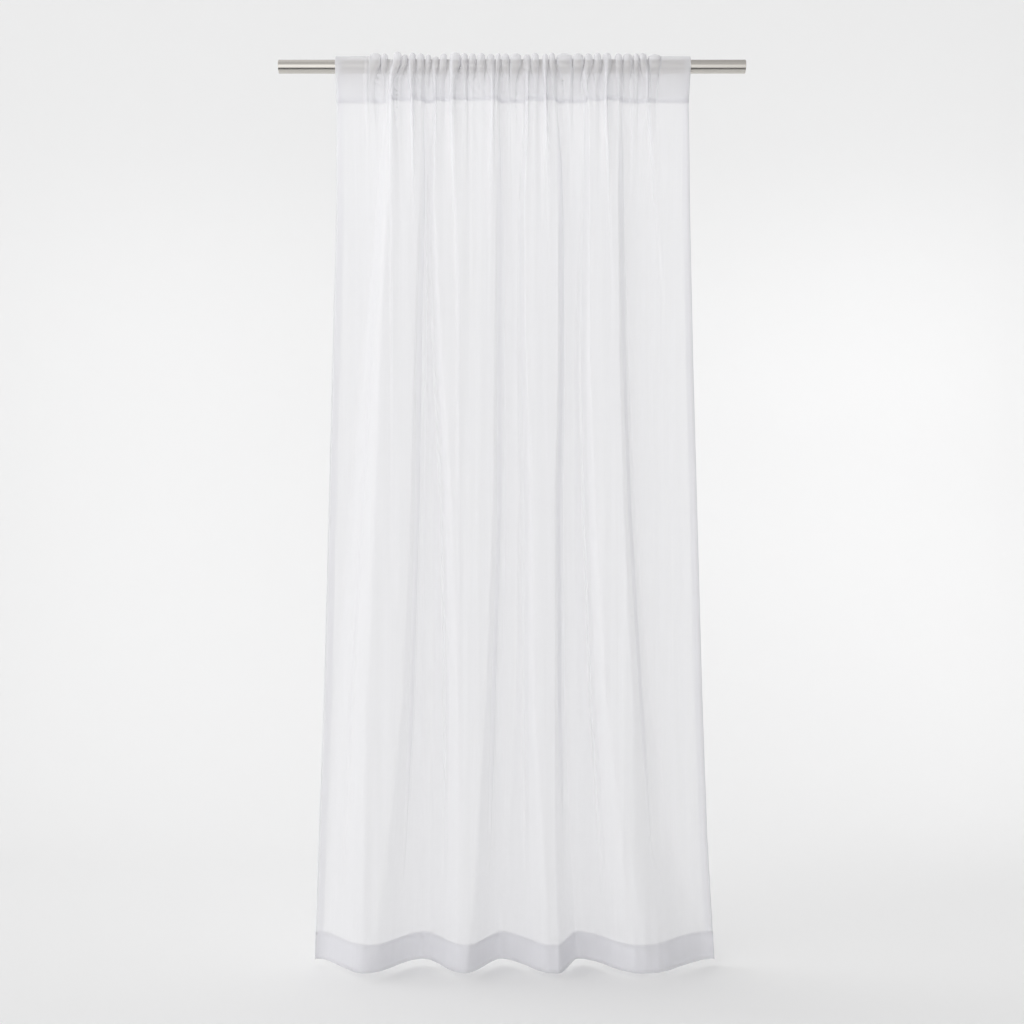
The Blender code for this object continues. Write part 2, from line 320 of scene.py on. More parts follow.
def hanging_folds(x, level):
    """Share of the fold depth that the cloth stands forward, from 0 behind to 1 in front."""
    share = np.zeros_like(x)
    for flank in FLANKS:
        middle = at_level(level, flank.middle)
        width = at_level(level, flank.width, SOFT_LEVELS)
        share += flank.turn * smooth((x - middle) / (FLANK_SPREAD * width) + 0.5)
        depth = flank.groove * at_level(level, CREASE_SHARES, CREASE_LEVELS)
        share -= depth * (1 - smooth(np.abs(x - middle) / GROOVE_HALF))
    return share


def pleats(x, level):
    """How far the small pleats stand forward."""
    rise = np.zeros_like(x)
    for pleat in PLEATS:
        crest = at_level(level, (pleat.rod, pleat.seam, pleat.low), PLEAT_LEVELS)
        side = np.where(x < crest, pleat.left, pleat.right)
        fade = smooth(level / PLEAT_START) * (1 - smooth(level / pleat.reach))
        fade *= at_level(level, PLEAT_SHARES, PLEAT_FADES)
        rise += fade * pleat.height * (1 - smooth(np.abs(x - crest) / side))
    return rise


def settled(level):
    """How far the ruffles have turned into pleats, from 0 at the rod to 1."""
    return float(smooth(level / SETTLE_LEVEL))


def ruffle_lift(x, level=0.0):
    """How far the top of the pocket stands above the rod, or less of it below the rod."""
    inside = smooth((x - RUFFLED_FROM) / FLAT_BLEND) * smooth((RUFFLED_TO - x) / FLAT_BLEND)
    lift = FLAT_LIFT + (SEAT_GAP - FLAT_LIFT) * inside
    for ruffle in RUFFLES:
        t = np.clip(np.abs(x - ruffle.middle) / (ruffle.width / 2), 0.0, 1.0)
        kept = 1 + (ruffle.kept - 1) * settled(level)
        dome = kept * np.cos(pi / 2 * t) ** RUFFLE_ROUNDNESS
        lift = np.maximum(lift, SEAT_GAP + (ruffle.lift - SEAT_GAP) * dome)
    return lift


def ruffle_front(x, level):
    """How far the ruffles stand out in front of the pocket's flat face."""
    return RUFFLE_FRONT_SHARE * (ruffle_lift(x, level) - SEAT_GAP)


def gather(x, level):
    """How far the gathers pull the cloth aside: a ruffle is pinched at its foot and leans to its pleat."""
    if level >= GATHER_LEVELS[-1]:
        return np.zeros_like(x)
    head = at_level(level, GATHER_HEADS, GATHER_LEVELS)
    pinch = at_level(level, GATHER_PINCHES, GATHER_LEVELS)
    lean = at_level(level, GATHER_LEANS, GATHER_LEVELS)
    feet, pulls = [RUFFLED_FROM - FLAT_BLEND], [0.0]
    for ruffle in RUFFLES:
        for half in (-ruffle.width / 2, ruffle.width / 2):
            feet.append(ruffle.middle + half)
            pulls.append(half * (head * (1 - pinch) - 1) + lean * (ruffle.seam - ruffle.middle))
    feet.append(RUFFLED_TO + FLAT_BLEND)
    pulls.append(0.0)
    shift = np.interp(x, feet, pulls)
    for ruffle in RUFFLES:
        t = (x - ruffle.middle) / (ruffle.width / 2)
        pulled = (x - ruffle.middle) * (head * (1 - pinch * t ** 4) - 1)
        pulled += lean * (ruffle.seam - ruffle.middle)
        shift = np.where(np.abs(t) <= 1, pulled, shift)
    return shift


def laps(x, level):
    """How far the creases pull the cloth aside, so that it laps over itself there."""
    shift = np.zeros_like(x)
    share = at_level(level, CREASE_SHARES, CREASE_LEVELS)
    if share:
        for flank in FLANKS:
            t = np.clip((x - at_level(level, flank.middle)) / CREASE_HALF, -1.0, 1.0)
            shift -= share * flank.lap * CREASE_HALF * t * (1 - t * t) ** 2
    return shift


def bunched(x, level):
    """How tightly the gathered cloth is bunched, from 0 where it is a single layer to 1."""
    seen = x + gather(x, level)
    share = np.zeros_like(x)
    for pleat in PLEATS:
        if pleat.height > 0 and level < pleat.reach:
            crest = at_level(level, (pleat.rod, pleat.seam, pleat.low), PLEAT_LEVELS)
            strength = (1 - smooth(level / pleat.reach)) * pleat.height / STEM_HEIGHT
            strength *= at_level(level, PLEAT_SHARES, PLEAT_FADES)
            share = np.maximum(share, strength * (1 - smooth(np.abs(seen - crest) / STEM_WIDTH)))
    rims = RIM_SHARE * (1 - settled(level))
    if rims:
        for ruffle in RUFFLES:
            t = np.abs(x - ruffle.middle) / (ruffle.width / 2)
            share = np.maximum(share, rims * (1 - smooth(np.abs(t - RIM_PLACE) / RIM_WIDTH)))
    return share


# Faint ripples of two sizes, which are full at the hem and start a little below the rod
SLOW_RIPPLE = 0.073
SLOW_HEIGHT = 0.0011
QUICK_RIPPLE = 0.031
QUICK_HEIGHT = 0.00045
RIPPLE_START = 0.25
RIPPLE_ABOVE = 0.55


def ripples(x, level):
    """Faint unevenness of the hanging cloth."""
    fade = RIPPLE_ABOVE + (1 - RIPPLE_ABOVE) * smooth(level / HEM_LEVEL)
    fade *= smooth(level / RIPPLE_START)
    slow_bend = 1.7 * np.sin(1.9 * level + 9.0 * x)
    slow = np.sin(2 * pi * (x / SLOW_RIPPLE + 0.21 * level) + slow_bend)
    quick_bend = 2.3 * np.sin(1.3 * level + 14.0 * x)
    quick = np.sin(2 * pi * (x / QUICK_RIPPLE - 0.13 * level) + quick_bend)
    return fade * (SLOW_HEIGHT * slow + QUICK_HEIGHT * quick)


def front_face(x, level):
    """Depth of the front layer: towards the viewer is negative."""
    closing = 1 - min(level / SEAM_LEVEL, 1.0) ** POCKET_TAPER
    pocket = (ROD_RADIUS + POCKET_GAP) * closing
    share = at_level(level, RUFFLE_SHARES, RUFFLE_LEVELS)
    ruffles = share * ruffle_front(x, level) if share else 0.0
    seen = x + gather(x, level)
    folds = at_level(level, FOLD_DEPTH) * (hanging_folds(seen, level) - at_level(level, FOLD_BACK))
    return -(pocket + ruffles + folds + pleats(seen, level) + ripples(x, level))


def pocket_depth(x, level):
    """Distance from the front layer of the top hem to its back layer."""
    closing = 1 - (level / SEAM_LEVEL) ** POCKET_TAPER
    open_depth = 2 * closing * (ROD_RADIUS + POCKET_GAP + ruffle_front(x, level))
    return np.maximum(open_depth, 2 * LAYER_GAP)


def threads_at(level, cloth):
    """Place each thread at a level, so that the cloth between two of them keeps its share."""
    x = np.linspace(at_level(level, LEFT_EDGE), at_level(level, RIGHT_EDGE), SAMPLES)
    pieces = np.hypot(np.diff(x), np.diff(front_face(x, level)))
    run = np.concatenate(([0.0], np.cumsum(pieces)))
    return np.interp(cloth * run[-1], run, x)


class Row(NamedTuple):
    """One row of the sheet: points, the way to its wrong side, place along the cloth, bunching."""
    points: np.ndarray
    inward: np.ndarray
    along: float
    bunched: np.ndarray


def horizontal_normal(x, y):
    """Unit vectors across a row that point to the back."""
    tangent = np.stack((np.gradient(x), np.gradient(y)), axis=1)
    tangent /= np.linalg.norm(tangent, axis=1)[:, None]
    return np.stack((-tangent[:, 1], tangent[:, 0], np.zeros_like(x)), axis=1)


def hanging_row(level, cloth, along, layer=0.0, share_of_pocket=0.0):
    """A row at a level. layer is its distance behind the front, share_of_pocket is 1 for the flap."""
    x = threads_at(level, cloth)
    y = front_face(x, level)
    depth = pocket_depth(x, level) if share_of_pocket else 0.0
    bunching = np.zeros_like(x) if share_of_pocket else bunched(x, level)
    x = x + gather(x, level)
    x = x + laps(x, level)
    back = horizontal_normal(x, y)
    points = np.stack((x, y, np.full_like(x, -level)), axis=1) + layer * back
    if share_of_pocket:
        points[:, 1] += share_of_pocket * depth
        back = -back
    return Row(points, back, along, bunching)


def pocket_row(cloth, turn, along):
    """A row over the rod: turn is 1 behind it, 0.5 on top and 0 in front."""
    x = threads_at(0.0, cloth)
    reach = ROD_RADIUS + POCKET_GAP + ruffle_front(x, 0.0)
    height = ROD_RADIUS + ruffle_lift(x)
    bunching = bunched(x, 0.0) * smooth(2.0 - 2.0 * turn)
    x = x + gather(x, 0.0)
    points = np.stack((x, -reach * cos(pi * turn), height * sin(pi * turn)), axis=1)
    inward = np.array((0.0, cos(pi * turn), -sin(pi * turn)))
    return Row(points, np.tile(inward, (len(x), 1)), along, bunching)


def spaced(start, stop, step):
    """Values from start to stop, both included, about a step apart."""
    return np.linspace(start, stop, max(2, round(abs(stop - start) / step) + 1))


# The cloth over the rod lies a little off it on average
POCKET_TURNS = 18
POCKET_EASE = 0.006
POCKET_LENGTH = pi * (ROD_RADIUS + POCKET_EASE)

# Steps between rows, which are short in the top hem and near the bottom hem, and long between
ALLOWANCE_STEP = 0.004
HEADER_STEP = 0.0065
HEADER_MARGIN = 0.03
SHORT_STEP = 0.012
SHORT_TO = 0.40
LONG_STEP = 0.034
HEM_MARGIN = 0.10

# Distance between the layers of the bottom hem, and from its raw edge to the fold
HEM_LAYER = 0.0012
RAW_EDGE_GAP = 0.002


def sheet_rows(settings, cloth):
    """All rows from the raw edge inside the top hem to the raw edge inside the bottom hem."""
    rows = []
    along = 0.0
    for level in spaced(SEAM_LEVEL - settings.seam_allowance, SEAM_LEVEL, ALLOWANCE_STEP):
        rows.append(hanging_row(level, cloth, along + level, share_of_pocket=0.5))
    flap = spaced(SEAM_LEVEL, 0.0, HEADER_STEP)
    along += SEAM_LEVEL
    for level in flap[:-1]:
        rows.append(hanging_row(level, cloth, along + SEAM_LEVEL - level, share_of_pocket=1.0))
    along += SEAM_LEVEL
    for step in range(POCKET_TURNS + 1):
        share = step / POCKET_TURNS
        rows.append(pocket_row(cloth, 1 - share, along + share * POCKET_LENGTH))
    along += POCKET_LENGTH
    hem_top = HEM_LEVEL - settings.bottom_hem
    levels = list(spaced(0.0, SEAM_LEVEL + HEADER_MARGIN, HEADER_STEP))[1:]
    levels += list(spaced(levels[-1], SHORT_TO, SHORT_STEP))[1:]
    levels += list(spaced(SHORT_TO, hem_top - HEM_MARGIN, LONG_STEP))[1:]
    levels += list(spaced(hem_top - HEM_MARGIN, HEM_LEVEL, SHORT_STEP))[1:]
    trimmed = trim_corners(cloth)
    for level in levels:
        rows.append(hanging_row(level, trimmed if level > hem_top else cloth, along + level))
    along += HEM_LEVEL
    for level in spaced(HEM_LEVEL, hem_top, SHORT_STEP):
        rows.append(hanging_row(level, trimmed, along + HEM_LEVEL - level, layer=2 * HEM_LAYER))
    along += settings.bottom_hem
    for level in spaced(hem_top, HEM_LEVEL - RAW_EDGE_GAP, SHORT_STEP):
        rows.append(hanging_row(level, trimmed, along + level - hem_top, layer=HEM_LAYER))
    return rows


# Columns of the sheet: the panel itself, and the places across each turned side hem
MAIN_COLUMNS = 600
SIDE_TURNS = (0.0, 0.5, 1.0)
SIDE_LAYER = 0.0008
TRIMMED_SHARE = 0.1


def trim_corners(cloth):
    """Narrow the turned side hems inside the bottom hem, where a sewer trims them."""
    trimmed = cloth.copy()
    turns = len(SIDE_TURNS)
    trimmed[:turns] *= TRIMMED_SHARE
    trimmed[-turns:] = 1 - TRIMMED_SHARE * (1 - trimmed[-turns:])
    return trimmed


def sheet_columns(settings):
    """Share of the width, layer and place across for each column, turned side hems included."""
    hem, width = settings.side_hem, settings.width
    turns = np.array(SIDE_TURNS) * hem
    main = np.linspace(0.0, width, MAIN_COLUMNS)
    place = np.concatenate((turns[::-1], main, width - turns))
    across = np.concatenate((-turns[::-1], main, width + turns))
    turned = np.full_like(turns, SIDE_LAYER)
    layer = np.concatenate((turned, np.zeros_like(main), turned))
    return place / width, layer, across


def new_object(name, bm, material):
    """Make a finished mesh an object with one material."""
    mesh = bpy.data.meshes.new(name)
    bm.to_mesh(mesh)
    bm.free()
    mesh.shade_smooth()
    mesh.materials.append(material)
    made = bpy.data.objects.new(name, mesh)
    bpy.context.scene.collection.objects.link(made)
    return made


def new_piece(name, bm, material):
    """Make a finished mesh a piece of the curtain."""
    piece = new_object(name, bm, material)
    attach(piece, "root")
    return piece


def stage_piece(name, bm, material):
    """Make a finished mesh an object for the stage, left out of the curtain's body."""
    piece = new_object(name, bm, material)
    return piece


class Maths:
    """A value in a material's node tree, for writing shader maths as expressions."""

    def __init__(self, tree, socket):
        self.tree = tree
        self.socket = socket

    def node(self, kind, settings=None, values=None, output=0):
        """Add a node, set it up, fill or link its sockets and return one of its outputs."""
        made = self.tree.nodes.new(kind)
        for name, value in (settings or {}).items():
            setattr(made, name, value)
        for name, value in (values or {}).items():
            if isinstance(value, Maths):
                self.tree.links.new(value.socket, made.inputs[name])
            else:
                made.inputs[name].default_value = value
        return Maths(self.tree, made.outputs[output])

    def maths(self, operation, *values):
        """Add a Math node."""
        return self.node("ShaderNodeMath", {"operation": operation}, dict(enumerate(values)))

    def __add__(self, other):
        return self.maths("ADD", self, other)

    def __radd__(self, other):
        return self.maths("ADD", other, self)

    def __sub__(self, other):
        return self.maths("SUBTRACT", self, other)

    def __rsub__(self, other):
        return self.maths("SUBTRACT", other, self)

    def __mul__(self, other):
        return self.maths("MULTIPLY", self, other)

    def __rmul__(self, other):
        return self.maths("MULTIPLY", other, self)

    def sine(self):
        return self.maths("SINE", self)

    def clamped(self, low, high):
        return self.node("ShaderNodeClamp", {}, {0: self, 1: low, 2: high})


def new_material(name):
    """A material with an empty tree, and a first value to start expressions from."""
    material = bpy.data.materials.new(name)
    material.use_nodes = True
    tree = material.node_tree
    tree.nodes.clear()
    return material, Maths(tree, None)


def set_surface(start, shader):
    """Link the finished shader to the material's output."""
    output = start.tree.nodes.new("ShaderNodeOutputMaterial")
    start.tree.links.new(shader.socket, output.inputs["Surface"])


# Width and length of the slubs of each yarn direction, and of broad faint streaks, in the cloth
WARP_SLUB = (0.0028, 0.34)
WEFT_SLUB = (0.42, 0.0030)
BROAD_STREAK = (0.035, 1.1)
WARP_SHARE = 0.78

# What the slubs, the streaks and each yarn add to the cover, and its limits
SLUB_COVER = 0.03
BROAD_COVER = 0.015
YARN_COVER = 0.03
COVER_LIMITS = (0.25, 0.96)


def voile_material(settings):
    """Sheer plain weave: yarns that scatter, let light through and leave gaps between them."""
    material, start = new_material("voile")
    cloth = start.node("ShaderNodeTexCoord", output="UV")
    across = start.node("ShaderNodeSeparateXYZ", {}, {0: cloth}, output=0)
    along = start.node("ShaderNodeSeparateXYZ", {}, {0: cloth}, output=1)
    bunching = start.node("ShaderNodeAttribute", {"attribute_name": "bunched"}, output="Fac")

    def streaks(wide, long, detail):
        """Noise that is drawn out along one way of the cloth, and is 0.5 on average."""
        place = start.node("ShaderNodeCombineXYZ", {}, {0: across * (1 / wide), 1: along * (1 / long)})
        return start.node("ShaderNodeTexNoise", {"noise_dimensions": "2D"},
                          {"Vector": place, "Scale": 1.0, "Detail": detail, "Roughness": 0.6})

    warp_slubs = streaks(*WARP_SLUB, detail=2.0)
    weft_slubs = streaks(*WEFT_SLUB, detail=2.0)
    broad = streaks(*BROAD_STREAK, detail=1.0)
    turn = 2 * pi / settings.yarn_pitch
    warp = (across * turn).sine()
    weft = (along * turn).sine()
    slubs = WARP_SHARE * warp_slubs + (1 - WARP_SHARE) * weft_slubs - 0.5
    cover = settings.cover + slubs * SLUB_COVER + (broad - 0.5) * BROAD_COVER
    cover = cover + (warp + weft) * YARN_COVER
    cover = (cover + bunching * settings.bunched_cover).clamped(*COVER_LIMITS)
    tint = start.node("ShaderNodeMix", {"data_type": "RGBA"}, {
        0: (slubs * 1.2 + 0.5).clamped(0.0, 1.0),
        6: (*(0.985 * c for c in settings.voile_colour), 1.0),
        7: (*settings.voile_colour, 1.0)}, output=2)
    relief = start.node("ShaderNodeBump", {}, {
        "Strength": 0.35, "Distance": 0.0002, "Height": (warp + weft) * 0.25 + slubs * 0.2})
    yarn = start.node("ShaderNodeBsdfPrincipled", {}, {
        "Base Color": tint, "Roughness": 0.85, "Sheen Weight": 0.12, "Specular IOR Level": 0.25,
        "Normal": relief})
    lit_through = start.node("ShaderNodeBsdfTranslucent", {}, {
        "Color": (*settings.voile_colour, 1.0), "Normal": relief})
    solid = start.node("ShaderNodeMixShader", {}, {0: settings.glow, 1: yarn, 2: lit_through})
    gap = start.node("ShaderNodeBsdfTransparent", {}, {"Color": (1.0, 1.0, 1.0, 1.0)})
    set_surface(start, start.node("ShaderNodeMixShader", {}, {0: cover, 1: gap, 2: solid}))
    return material


def thread_material(settings):
    """White sewing thread with its twist."""
    material, start = new_material("sewing thread")
    place = start.node("ShaderNodeTexCoord", output="Object")
    twist = start.node("ShaderNodeTexNoise", {}, {"Vector": place, "Scale": 2400.0, "Detail": 1.0})
    tint = start.node("ShaderNodeMix", {"data_type": "RGBA"}, {
        0: twist, 6: (*(0.90 * c for c in settings.voile_colour), 1.0),
        7: (*settings.voile_colour, 1.0)}, output=2)
    relief = start.node("ShaderNodeBump", {}, {"Strength": 0.3, "Distance": 0.0001, "Height": twist})
    set_surface(start, start.node("ShaderNodeBsdfPrincipled", {}, {
        "Base Color": tint, "Roughness": 0.6, "Sheen Weight": 0.1, "Normal": relief}))
    return material


def rod_material(settings):
    """Satin metal with fine polishing lines along the rod."""
    material, start = new_material("satin metal")
    place = start.node("ShaderNodeTexCoord", output="Object")
    lined = start.node("ShaderNodeMapping", {}, {"Vector": place, "Scale": (2.2, 900.0, 900.0)})
    lines = start.node("ShaderNodeTexNoise", {}, {
        "Vector": lined, "Scale": 1.0, "Detail": 3.0, "Roughness": 0.65})
    cloudy = start.node("ShaderNodeTexNoise", {}, {"Vector": place, "Scale": 9.0, "Detail": 2.0})
    tint = start.node("ShaderNodeMix", {"data_type": "RGBA"}, {
        0: (lines * 0.7 + cloudy * 0.3).clamped(0.0, 1.0),
        6: (*(0.88 * c for c in settings.metal_colour), 1.0),
        7: (*(min(1.0, 1.08 * c) for c in settings.metal_colour), 1.0)}, output=2)
    relief = start.node("ShaderNodeBump", {}, {
        "Strength": 0.10, "Distance": 0.00005, "Height": lines})
    set_surface(start, start.node("ShaderNodeBsdfPrincipled", {}, {
        "Base Color": tint, "Metallic": 1.0, "Roughness": 0.20 + lines * 0.10, "Normal": relief}))
    return material


class CURTAIN_OT_hang_voile(bpy.types.Operator):
    """Hang the one sheet of voile, with its hems turned"""

    bl_idname = "curtain.hang_voile"
    bl_label = "Hang the voile"

    def execute(self, context):
        settings = context.scene.curtain
        cloth, layers, across = sheet_columns(settings)
        rows = sheet_rows(settings, cloth)
        bm = bmesh.new()
        last_column = len(cloth) - 1
        last_row = len(rows) - 1
        bmesh.ops.create_grid(bm, x_segments=last_column, y_segments=last_row, size=0.5)
        places = [row.points + layers[:, None] * row.inward for row in rows]
        cloth_map = bm.loops.layers.uv.new("cloth")
        bunching = bm.verts.layers.float.new("bunched")
        for vert in bm.verts:
            column = round((vert.co.x + 0.5) * last_column)
            row = round((vert.co.y + 0.5) * last_row)
            vert.co = places[row][column]
            vert[bunching] = rows[row].bunched[column]
            for loop in vert.link_loops:
                loop[cloth_map].uv = (across[column], rows[row].along)
        voile = new_piece("voile", bm, voile_material(settings))
        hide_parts("curtain")
        return {"FINISHED"}


# Distance from a row of stitches to the edge of its hem
EDGE_STITCH = 0.0022

# The side rows start this far below the top hem, and the cloth is measured this near to them
SIDE_START = 0.004
SIDE_NEAR = 0.001


def stitch_rows(settings):
    """Each seam's name, and the places and outward directions of its stitches on both faces."""
    count = round(settings.width / settings.stitch_length)
    cloth = (np.arange(count) + 0.5) / count
    yield "header_stitches", both_faces(
        row_line(hanging_row(SEAM_LEVEL - EDGE_STITCH, cloth, 0.0, layer), side)
        for layer, side in ((0.0, -1), (2 * LAYER_GAP, +1)))
    yield "hem_stitches", both_faces(
        row_line(hanging_row(HEM_LEVEL - settings.bottom_hem + EDGE_STITCH, cloth, 0.0, layer), side)
        for layer, side in ((0.0, -1), (2 * HEM_LAYER, +1)))
    inset = (settings.side_hem - EDGE_STITCH) / settings.width
    yield "side_stitches", both_faces(
        line for layer, side in ((0.0, -1), (SIDE_LAYER, +1))
        for line in side_lines(settings, inset, layer, side))


def both_faces(lines):
    """Join lines of stitches into arrays of places, ways along the line and ways out of the cloth."""
    places, outward = zip(*lines)
    along = [np.gradient(line, axis=0) for line in places]
    return np.concatenate(places), np.concatenate(along), np.concatenate(outward)


def row_line(row, side):
    """A line of stitches across the cloth, in front of it for -1 and behind it for +1."""
    return row.points, side * row.inward


def side_lines(settings, inset, layer, side):
    """The two lines of stitches down the cloth, one beside each edge."""
    cloth = np.array([place + step for place in (inset, 1 - inset)
                      for step in (-SIDE_NEAR, 0.0, SIDE_NEAR)])
    start = SEAM_LEVEL + SIDE_START
    levels = np.arange(start, HEM_LEVEL - settings.bottom_hem, settings.stitch_length)
    rows = [hanging_row(level, cloth, 0.0, layer) for level in levels]
    for column in (1, 4):
        yield (np.array([row.points[column] for row in rows]),
               side * np.array([row.inward[column] for row in rows]))


# How much of a stitch's length shows, and how far its thread stands out of the cloth in radii
STITCH_SHARE = 0.80
STITCH_RISE = 0.6

# Distance between the copies of a stitch before they are laid in their places
STITCH_SPACING = 4.0


def sew(settings, points, along, outward):
    """Lay one short rounded stitch of thread at each point of a line."""
    bm = bmesh.new()
    bmesh.ops.create_uvsphere(bm, u_segments=6, v_segments=4, radius=1.0)
    made = 1
    while made < len(points):
        copies = bmesh.ops.duplicate(bm, geom=[*bm.verts, *bm.edges, *bm.faces])["geom"]
        copied = [item for item in copies if isinstance(item, bmesh.types.BMVert)]
        bmesh.ops.translate(bm, verts=copied, vec=(STITCH_SPACING * made, 0.0, 0.0))
        made *= 2
    spare = [vert for vert in bm.verts if round(vert.co.x / STITCH_SPACING) >= len(points)]
    bmesh.ops.delete(bm, geom=spare, context="VERTS")

    along = along / np.linalg.norm(along, axis=1)[:, None]
    lift = outward - along * np.sum(along * outward, axis=1)[:, None]
    lift /= np.linalg.norm(lift, axis=1)[:, None]
    side = np.cross(lift, along)
    middle = points + lift * settings.thread_radius * STITCH_RISE
    half = STITCH_SHARE * settings.stitch_length / 2
    size = np.array((half, settings.thread_radius, settings.thread_radius))
    ways = np.stack((along, side, lift), axis=1)
    for vert in bm.verts:
        place = round(vert.co.x / STITCH_SPACING)
        corner = np.array(vert.co) - (STITCH_SPACING * place, 0.0, 0.0)
        vert.co = middle[place] + (corner * size) @ ways[place]
    return bm


class CURTAIN_OT_sew_hems(bpy.types.Operator):
    """Sew the rows of stitches that hold the hems"""

    bl_idname = "curtain.sew_hems"
    bl_label = "Sew the hems"

    def execute(self, context):
        settings = context.scene.curtain
        thread = thread_material(settings)
        for name, lines in stitch_rows(settings):
            piece = new_piece(name, sew(settings, *lines), thread)
        length = 2 * SEAM_LEVEL + settings.seam_allowance + POCKET_LENGTH + HEM_LEVEL
        length += 2 * settings.bottom_hem
        return {"FINISHED"}


class CURTAIN_OT_finish_rod(bpy.types.Operator):
    """Give the rod its satin metal"""

    bl_idname = "curtain.finish_rod"
    bl_label = "Finish the rod"

    def execute(self, context):
        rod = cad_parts["rod"]
        metal = rod_material(context.scene.curtain)
        for slot in rod.material_slots:
            slot.material = metal
        return {"FINISHED"}


class Lamp(NamedTuple):
    """One soft light, with its power in watts and its spread in degrees.

    mirrored says whether reflections see it.
    """
    name: str
    mirrored: bool
    size: tuple
    power: float
    spread: float
    place: tuple
    target: tuple


LAMPS = (
    Lamp("front panel", True, (3.6, 2.5), 9.0, 180, (-0.4, -4.0, -0.6), (-0.4, 0.0, -0.6)),
    Lamp("header strip", False, (0.8, 0.3), 0.25, 30, (-1.5, -1.8, 0.6), (-0.25, 0.0, -0.05)),
    Lamp("backdrop left", False, (0.8, 1.8), 2.4, 140, (-2.2, 0.6, -0.7), (-1.4, 2.6, -0.5)),
    Lamp("backdrop right", False, (0.8, 1.8), 5.0, 140, (2.4, 0.6, -0.7), (1.4, 2.6, -0.7)),
    Lamp("floor strip", False, (5.0, 0.8), 12.0, 120, (0.0, 0.5, 1.4), (0.0, 1.0, -2.37)),
)


def add_lamp(lamp):
    """Set up one of the soft lights, unseen by the camera itself."""
    light = bpy.data.lights.new(lamp.name, "AREA")
    light.shape = "RECTANGLE"
    light.size, light.size_y = lamp.size
    light.energy = lamp.power
    light.spread = radians(lamp.spread)
    body = bpy.data.objects.new(lamp.name, light)
    body.location = lamp.place
    body.rotation_euler = (Vector(lamp.target) - Vector(lamp.place)).to_track_quat("-Z", "Y").to_euler()
    body.visible_camera = False
    body.visible_glossy = lamp.mirrored
    bpy.context.scene.collection.objects.link(body)


FLAG_DISTANCE = 1.2
FLAG_WIDTH = 6.0


def add_flag(name, top, low, glow):
    """A screen in front between two levels, seen only as a band in the rod's polish."""
    bm = bmesh.new()
    bmesh.ops.create_grid(bm, x_segments=1, y_segments=1, size=0.5)
    for vert in bm.verts:
        vert.co = (vert.co.x * FLAG_WIDTH, -FLAG_DISTANCE, -(top + low) / 2 + vert.co.y * (low - top))
    material, start = new_material(name)
    set_surface(start, start.node("ShaderNodeBsdfPrincipled", {}, {
        "Base Color": (0.01, 0.01, 0.01, 1.0), "Roughness": 1.0, "Specular IOR Level": 0.0,
        "Emission Color": (1.0, 1.0, 1.0, 1.0), "Emission Strength": glow}))
    flag = stage_piece(name, bm, material)
    flag.visible_camera = False
    flag.visible_diffuse = False
    flag.visible_transmission = False
    flag.visible_shadow = False


def backdrop_material(settings):
    """Matt seamless backdrop."""
    material, start = new_material("backdrop")
    place = start.node("ShaderNodeTexCoord", output="Object")
    cloudy = start.node("ShaderNodeTexNoise", {}, {"Vector": place, "Scale": 0.8, "Detail": 2.0})
    tint = start.node("ShaderNodeMix", {"data_type": "RGBA"}, {
        0: cloudy, 6: (*(0.99 * c for c in settings.backdrop_colour), 1.0),
        7: (*settings.backdrop_colour, 1.0)}, output=2)
    set_surface(start, start.node("ShaderNodeBsdfPrincipled", {}, {
        "Base Color": tint, "Roughness": 0.9, "Specular IOR Level": 0.1}))
    return material


BACKDROP_FRONT = -4.2
BACKDROP_BACK = 2.6
BACKDROP_RADIUS = 1.6
BACKDROP_TOP = 2.2
BACKDROP_WIDTH = 14.0


def add_backdrop(settings, floor):
    """A floor that sweeps up behind the curtain in one curve."""
    bm = bmesh.new()
    left = bm.verts.new((-BACKDROP_WIDTH / 2, BACKDROP_FRONT, floor))
    right = bm.verts.new((BACKDROP_WIDTH / 2, BACKDROP_FRONT, floor))
    edge = bm.edges.new((left, right))
    bend = BACKDROP_BACK - BACKDROP_RADIUS
    out = bmesh.ops.extrude_edge_only(bm, edges=[edge])["geom"]
    corners = [item for item in out if isinstance(item, bmesh.types.BMVert)]
    bmesh.ops.translate(bm, verts=corners, vec=(0, bend - BACKDROP_FRONT, 0))
    front = [item for item in out if isinstance(item, bmesh.types.BMEdge)]
    last = next(e for e in front if all(abs(v.co.y - bend) < 1e-6 for v in e.verts))
    swept = bmesh.ops.spin(bm, geom=[last, *last.verts], cent=(0, bend, floor + BACKDROP_RADIUS),
                           axis=(1, 0, 0), angle=pi / 2, steps=32, use_duplicate=False)
    top = [item for item in swept["geom_last"] if isinstance(item, bmesh.types.BMEdge)]
    out = bmesh.ops.extrude_edge_only(bm, edges=top)["geom"]
    corners = [item for item in out if isinstance(item, bmesh.types.BMVert)]
    rise = BACKDROP_TOP - (floor + BACKDROP_RADIUS)
    bmesh.ops.translate(bm, verts=corners, vec=(0, 0, rise))
    stage_piece("backdrop", bm, backdrop_material(settings))


SKY_EVEN = 0.268
SKY_LEFT = 1.61
SKY_TOP = -0.4


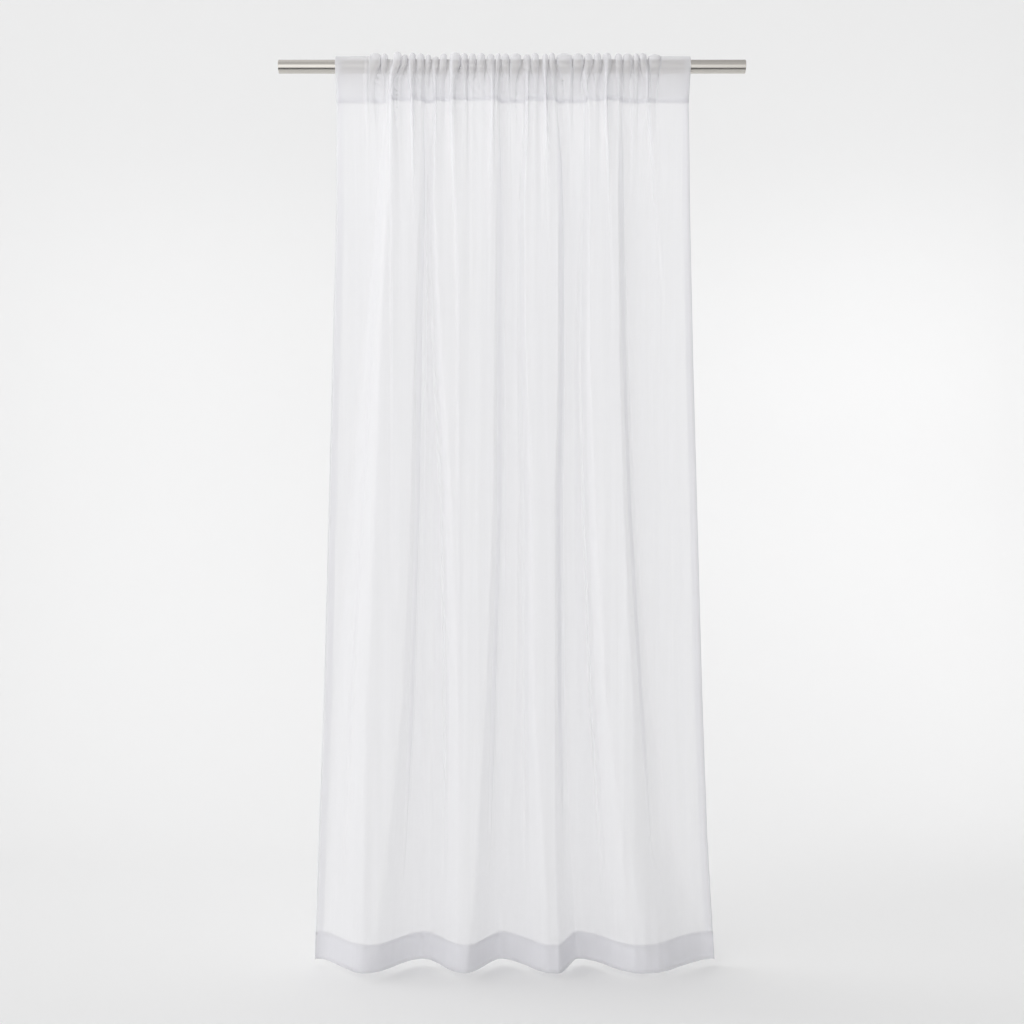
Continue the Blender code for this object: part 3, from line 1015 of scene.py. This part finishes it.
def set_sky():
    """Pale light from all sides, more of it from the left and less from above."""
    world = bpy.data.worlds.new("studio")
    bpy.context.scene.world = world
    world.use_nodes = True
    world.node_tree.nodes.clear()
    start = Maths(world.node_tree, None)
    way = start.node("ShaderNodeTexCoord", output="Generated")
    left = start.node("ShaderNodeSeparateXYZ", {}, {0: way}, output=0) * -0.5 + 0.5
    top = start.node("ShaderNodeSeparateXYZ", {}, {0: way}, output=2).clamped(0.0, 1.0)
    light = start.node("ShaderNodeBackground", {}, {
        "Color": (1.0, 1.0, 1.0, 1.0), "Strength": left * SKY_LEFT + top * SKY_TOP + SKY_EVEN})
    output = world.node_tree.nodes.new("ShaderNodeOutputWorld")
    world.node_tree.links.new(light.socket, output.inputs["Surface"])


class CURTAIN_OT_set_stage(bpy.types.Operator):
    """Set the camera, the floor and the light"""

    bl_idname = "curtain.set_stage"
    bl_label = "Set the stage"

    def execute(self, context):
        settings = context.scene.curtain_stage
        scene = context.scene
        floor = CLOTH_LOW.z - settings.floor_gap
        add_backdrop(settings, floor)
        set_sky()
        add_flag("dark_flag", 1.0, 2.2, 0.0)
        add_flag("grey_flag", -3.0, -0.45, 0.62)
        for lamp in LAMPS:
            add_lamp(lamp)
        view = bpy.data.cameras.new("camera")
        view.sensor_width = 36.0
        view.lens = view.sensor_width * settings.distance / settings.frame_width
        camera = bpy.data.objects.new("camera", view)
        camera.location = (0.0, -settings.distance, -settings.eye_level)
        camera.rotation_euler = (radians(90), 0.0, 0.0)
        scene.collection.objects.link(camera)
        scene.camera = camera
        scene.view_settings.view_transform = "Standard"
        return {"FINISHED"}


class CURTAIN_PT_panel(bpy.types.Panel):
    """Sizes, colours and steps of the curtain"""

    bl_idname = "CURTAIN_PT_panel"
    bl_label = "Sheer curtain"
    bl_space_type = "VIEW_3D"
    bl_region_type = "UI"
    bl_category = "Curtain"

    def draw(self, context):
        for group in (context.scene.curtain, context.scene.curtain_stage):
            column = self.layout.column()
            for name in group.__annotations__:
                column.prop(group, name)
        for operator in OPERATORS:
            self.layout.operator(operator.bl_idname)


OPERATORS = (
    CURTAIN_OT_hang_voile,
    CURTAIN_OT_sew_hems,
    CURTAIN_OT_finish_rod,
    CURTAIN_OT_set_stage,
)
CLASSES = (CurtainSettings, StageSettings, *OPERATORS, CURTAIN_PT_panel)


def register():
    for cls in CLASSES:
        bpy.utils.register_class(cls)
    bpy.types.Scene.curtain = PointerProperty(type=CurtainSettings)
    bpy.types.Scene.curtain_stage = PointerProperty(type=StageSettings)


def unregister():
    del bpy.types.Scene.curtain_stage
    del bpy.types.Scene.curtain
    for cls in reversed(CLASSES):
        bpy.utils.unregister_class(cls)


def main():
    register()
    bpy.ops.curtain.hang_voile()
    bpy.ops.curtain.sew_hems()
    bpy.ops.curtain.finish_rod()
    bpy.ops.curtain.set_stage()
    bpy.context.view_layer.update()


if __name__ == "__main__":
    main()
